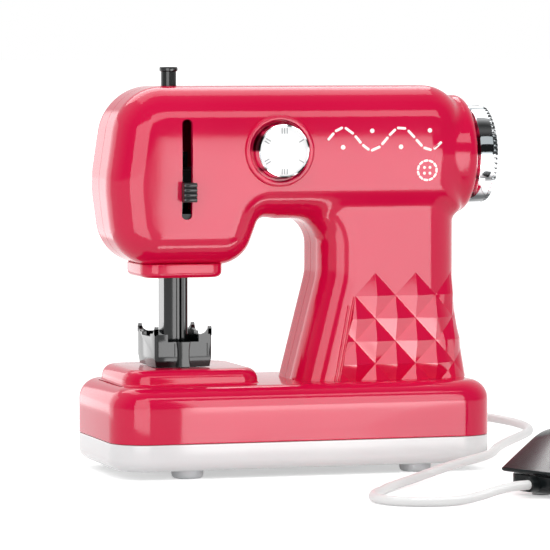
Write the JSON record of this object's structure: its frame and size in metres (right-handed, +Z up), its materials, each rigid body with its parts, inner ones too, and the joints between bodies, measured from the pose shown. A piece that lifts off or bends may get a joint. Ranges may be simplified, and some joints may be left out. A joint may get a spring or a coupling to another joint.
{
  "type": "toy sewing machine",
  "caption": "Toy sewing machine with a two-half moulded casing, crank-driven needle bar, presser foot, handwheel, dial and a corded foot pedal.",
  "frame": {"origin": "on the floor under the middle of the machine's base, between its four feet", "axes": "+X towards the handwheel, -Y to the front with the dial, +Z up"},
  "size_m": [0.1746, 0.1937, 0.14],
  "materials": {
    "pink_plastic": "high gloss moulded",
    "white_plastic": "gloss moulded",
    "black_plastic": "gloss moulded",
    "chrome": "bright plated plastic",
    "steel": "plain zinc plated",
    "grey_plastic": "natural moulded",
    "brass": "plain",
    "soft_foot": "soft translucent",
    "cord_sheath": "flexible sheath",
    "cell_wrap": "printed wrap"
  },
  "bodies": {
    "machine": {"front_shell": "pink_plastic", "rear_shell": "pink_plastic", "base_top": "pink_plastic", "head_collar": "pink_plastic", "base_tray": "white_plastic", "battery_door": "white_plastic", "pedal_base": "black_plastic", "pedal_switch": "black_plastic", "gear_axle": "steel", "motor": "steel", "shell_screws": "steel", "column_screws": "steel", "base_screws": "steel", "door_screw": "steel", "pedal_hinge_pin": "steel", "pedal_spring": "steel", "bar_guide": "grey_plastic", "shaft_bracket": "grey_plastic", "gear_frame": "grey_plastic", "dial_bush": "grey_plastic", "shaft_bush": "brass", "end_bush": "brass", "battery_contacts": "brass", "base_feet": "soft_foot", "pedal_feet": "soft_foot", "cord": "cord_sheath", "cord_gland": "cord_sheath", "pedal_gland": "cord_sheath", "battery_cells": "cell_wrap"},
    "drive": {"main_shaft": "steel", "crank_disc": "white_plastic", "shaft_gear": "white_plastic", "handwheel": "chrome"},
    "idler": {"compound_gear": "grey_plastic"},
    "rotor": {"motor_pinion": "grey_plastic"},
    "needle": {"needle_bar": "black_plastic", "yoke": "white_plastic", "take_up_lever": "black_plastic"},
    "presser": {"presser_bar": "black_plastic", "presser_foot": "black_plastic"},
    "dial": {"dial_knob": "chrome", "dial_face": "white_plastic", "dial_spindle": "steel", "dial_clip": "steel"},
    "pedal": {"pedal_cover": "black_plastic"}
  },
  "joints": [
    {"name": "shaft_spin", "type": "hinge", "parent": "machine", "child": "drive", "pos_m": [0, 0, 0.1092], "axis": [1, 0, 0], "continuous": true},
    {"name": "idler_spin", "type": "hinge", "parent": "machine", "child": "idler", "pos_m": [0, 0, 0.0948], "axis": [1, 0, 0], "continuous": true},
    {"name": "rotor_spin", "type": "hinge", "parent": "machine", "child": "rotor", "pos_m": [0, 0, 0.0804], "axis": [1, 0, 0], "continuous": true},
    {"name": "needle_slide", "type": "slide", "parent": "machine", "child": "needle", "axis": [0, 0, 1], "range_m": [0, 0.015]},
    {"name": "presser_slide", "type": "slide", "parent": "machine", "child": "presser", "axis": [0, 0, 1], "range_m": [0, 0.008]},
    {"name": "dial_turn", "type": "hinge", "parent": "machine", "child": "dial", "pos_m": [-0.0076, 0, 0.1114], "axis": [0, -1, 0], "continuous": true},
    {"name": "pedal_press", "type": "hinge", "parent": "machine", "child": "pedal", "pos_m": [0.06028, -0.11001, 0.0096], "axis": [-0.4226, 0.9063, 0], "range_deg": [0, 4], "stiffness_Nm_per_rad": 0.2, "springref_deg": -8.59, "deforming": ["pedal_spring"]}
  ],
  "couplings": [
    {"joint": "idler_spin", "follows": "shaft_spin", "ratio": -3},
    {"joint": "rotor_spin", "follows": "shaft_spin", "ratio": 9}
  ]
}
